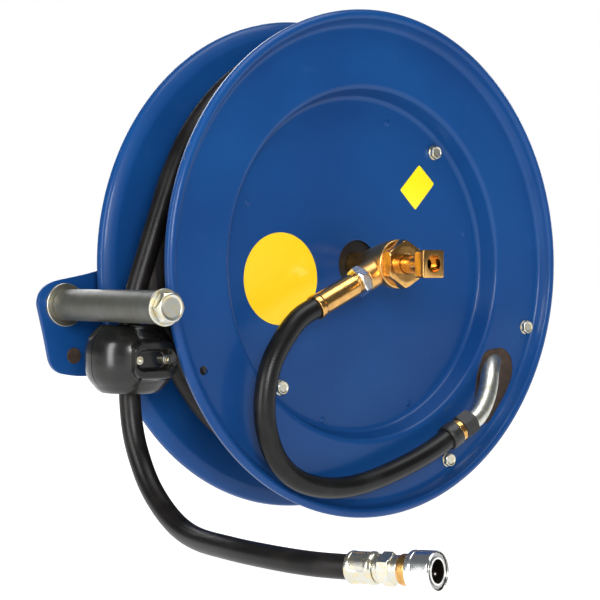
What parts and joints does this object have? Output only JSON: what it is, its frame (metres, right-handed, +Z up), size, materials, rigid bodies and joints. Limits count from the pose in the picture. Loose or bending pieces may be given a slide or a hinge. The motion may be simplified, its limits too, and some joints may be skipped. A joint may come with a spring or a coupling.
{
  "type": "hose reel with quick disconnect coupler",
  "caption": "Spring-rewind hose reel: dished steel discs on a wall frame, brass swivel, jumper hose, guide roller, hose stop, and a working quick disconnect coupler on the hose end.",
  "frame": {"origin": "centre of the wall plate's rear face, on the drum axis", "axes": "+Y into the wall along the drum axis, +Z up, -Y to the front, +X to the right seen from the front"},
  "size_m": [0.5625, 0.5424, 0.511],
  "materials": {
    "blue_paint": "blue powder coat, gloss",
    "zinc": "zinc plated, slightly yellow",
    "steel": "bare ground steel",
    "dark_steel": "black oxide",
    "brass": "machined and cast brass",
    "black_fitting": "black",
    "hose_rubber": "black rubber hose cover",
    "stop_rubber": "moulded black rubber",
    "roller": "grey nylon",
    "chrome": "bright plated",
    "seal_rubber": "nitrile seal"
  },
  "bodies": {
    "frame": {"wall_plate": "blue_paint", "axle_channel": "blue_paint", "guide_arm": "blue_paint", "channel_bolt_1": "zinc", "channel_bolt_2": "zinc", "axle": "steel", "axle_nut": "zinc", "spring_arbor": "dark_steel", "pawl_pin": "zinc", "roller_washer": "zinc", "roller_flange": "zinc", "roller_bolt": "zinc", "roller_nut": "zinc", "free_hose": "hose_rubber", "stop_front_half": "stop_rubber", "stop_rear_half": "stop_rubber", "stop_bolt_1": "zinc", "stop_bolt_2": "zinc", "hose_ferrule": "zinc", "hose_stem": "zinc", "coupler_body": "brass", "sleeve_ring": "steel", "sleeve_spring": "steel", "coupler_seal": "seal_rubber", "poppet_spring": "steel"},
    "drum": {"front_disc": "blue_paint", "rear_disc": "blue_paint", "drum_core": "steel", "ring_bolt_1": "zinc", "ring_bolt_2": "zinc", "panel_bolt_1": "zinc", "panel_bolt_2": "zinc", "hub": "dark_steel", "front_bearing": "steel", "rear_bearing": "steel", "spring_case": "blue_paint", "spring_cover": "blue_paint", "mainspring": "steel", "ratchet_plate": "zinc", "swivel_body": "brass", "swivel_seal": "seal_rubber", "swivel_cap": "brass", "outlet_nut": "chrome", "upper_ferrule": "brass", "jumper_hose": "hose_rubber", "lower_ferrule": "black_fitting", "lower_ring": "brass", "riser_nut": "black_fitting", "riser_tube": "zinc", "hose_pack": "hose_rubber"},
    "inlet": {"swivel_inlet": "brass"},
    "roller": {"guide_roller": "roller"},
    "pawl": {"pawl": "zinc"},
    "sleeve": {"coupler_sleeve": "chrome"},
    "poppet": {"poppet_valve": "brass"},
    "ball_1": {"locking_ball_1": "steel"},
    "ball_2": {"locking_ball_2": "steel"},
    "ball_3": {"locking_ball_3": "steel"},
    "ball_4": {"locking_ball_4": "steel"}
  },
  "joints": [
    {"name": "drum_spin", "type": "hinge", "parent": "frame", "child": "drum", "pos_m": [0, -0.133, 0], "axis": [0, 1, 0], "continuous": true},
    {"name": "inlet_swivel", "type": "hinge", "parent": "drum", "child": "inlet", "pos_m": [0, -0.24, 0], "axis": [0, 1, 0], "continuous": true},
    {"name": "roller_spin", "type": "hinge", "parent": "frame", "child": "roller", "pos_m": [-0.2794, -0.134, -0.0394], "axis": [0, 1, 0], "continuous": true},
    {"name": "pawl_swing", "type": "hinge", "parent": "frame", "child": "pawl", "pos_m": [-0.0775, -0.067, -0.038], "axis": [0, 1, 0], "range_deg": [0, 10], "stiffness_Nm_per_rad": 0.02, "springref_deg": -11.46},
    {"name": "sleeve_slide", "type": "slide", "parent": "frame", "child": "sleeve", "axis": [-0.2752, 0.9598, -0.0558], "range_m": [0, 0.005], "stiffness_N_per_m": 800, "springref_m": -0.006, "deforming": ["sleeve_spring"]},
    {"name": "poppet_slide", "type": "slide", "parent": "frame", "child": "poppet", "axis": [-0.2752, 0.9598, -0.0558], "range_m": [0, 0.0025], "stiffness_N_per_m": 500, "springref_m": -0.004, "deforming": ["poppet_spring"]},
    {"name": "ball_1_slide", "type": "slide", "parent": "frame", "child": "ball_1", "axis": [-0.8939, -0.2341, 0.3824], "range_m": [0, 0.0018]},
    {"name": "ball_2_slide", "type": "slide", "parent": "frame", "child": "ball_2", "axis": [0.3539, 0.1551, 0.9223], "range_m": [0, 0.0018]},
    {"name": "ball_3_slide", "type": "slide", "parent": "frame", "child": "ball_3", "axis": [0.8939, 0.2341, -0.3824], "range_m": [0, 0.0018]},
    {"name": "ball_4_slide", "type": "slide", "parent": "frame", "child": "ball_4", "axis": [-0.3539, -0.1551, -0.9223], "range_m": [0, 0.0018]}
  ],
  "couplings": [
    {"joint": "ball_1_slide", "follows": "sleeve_slide", "ratio": 0.36},
    {"joint": "ball_2_slide", "follows": "sleeve_slide", "ratio": 0.36},
    {"joint": "ball_3_slide", "follows": "sleeve_slide", "ratio": 0.36},
    {"joint": "ball_4_slide", "follows": "sleeve_slide", "ratio": 0.36}
  ]
}
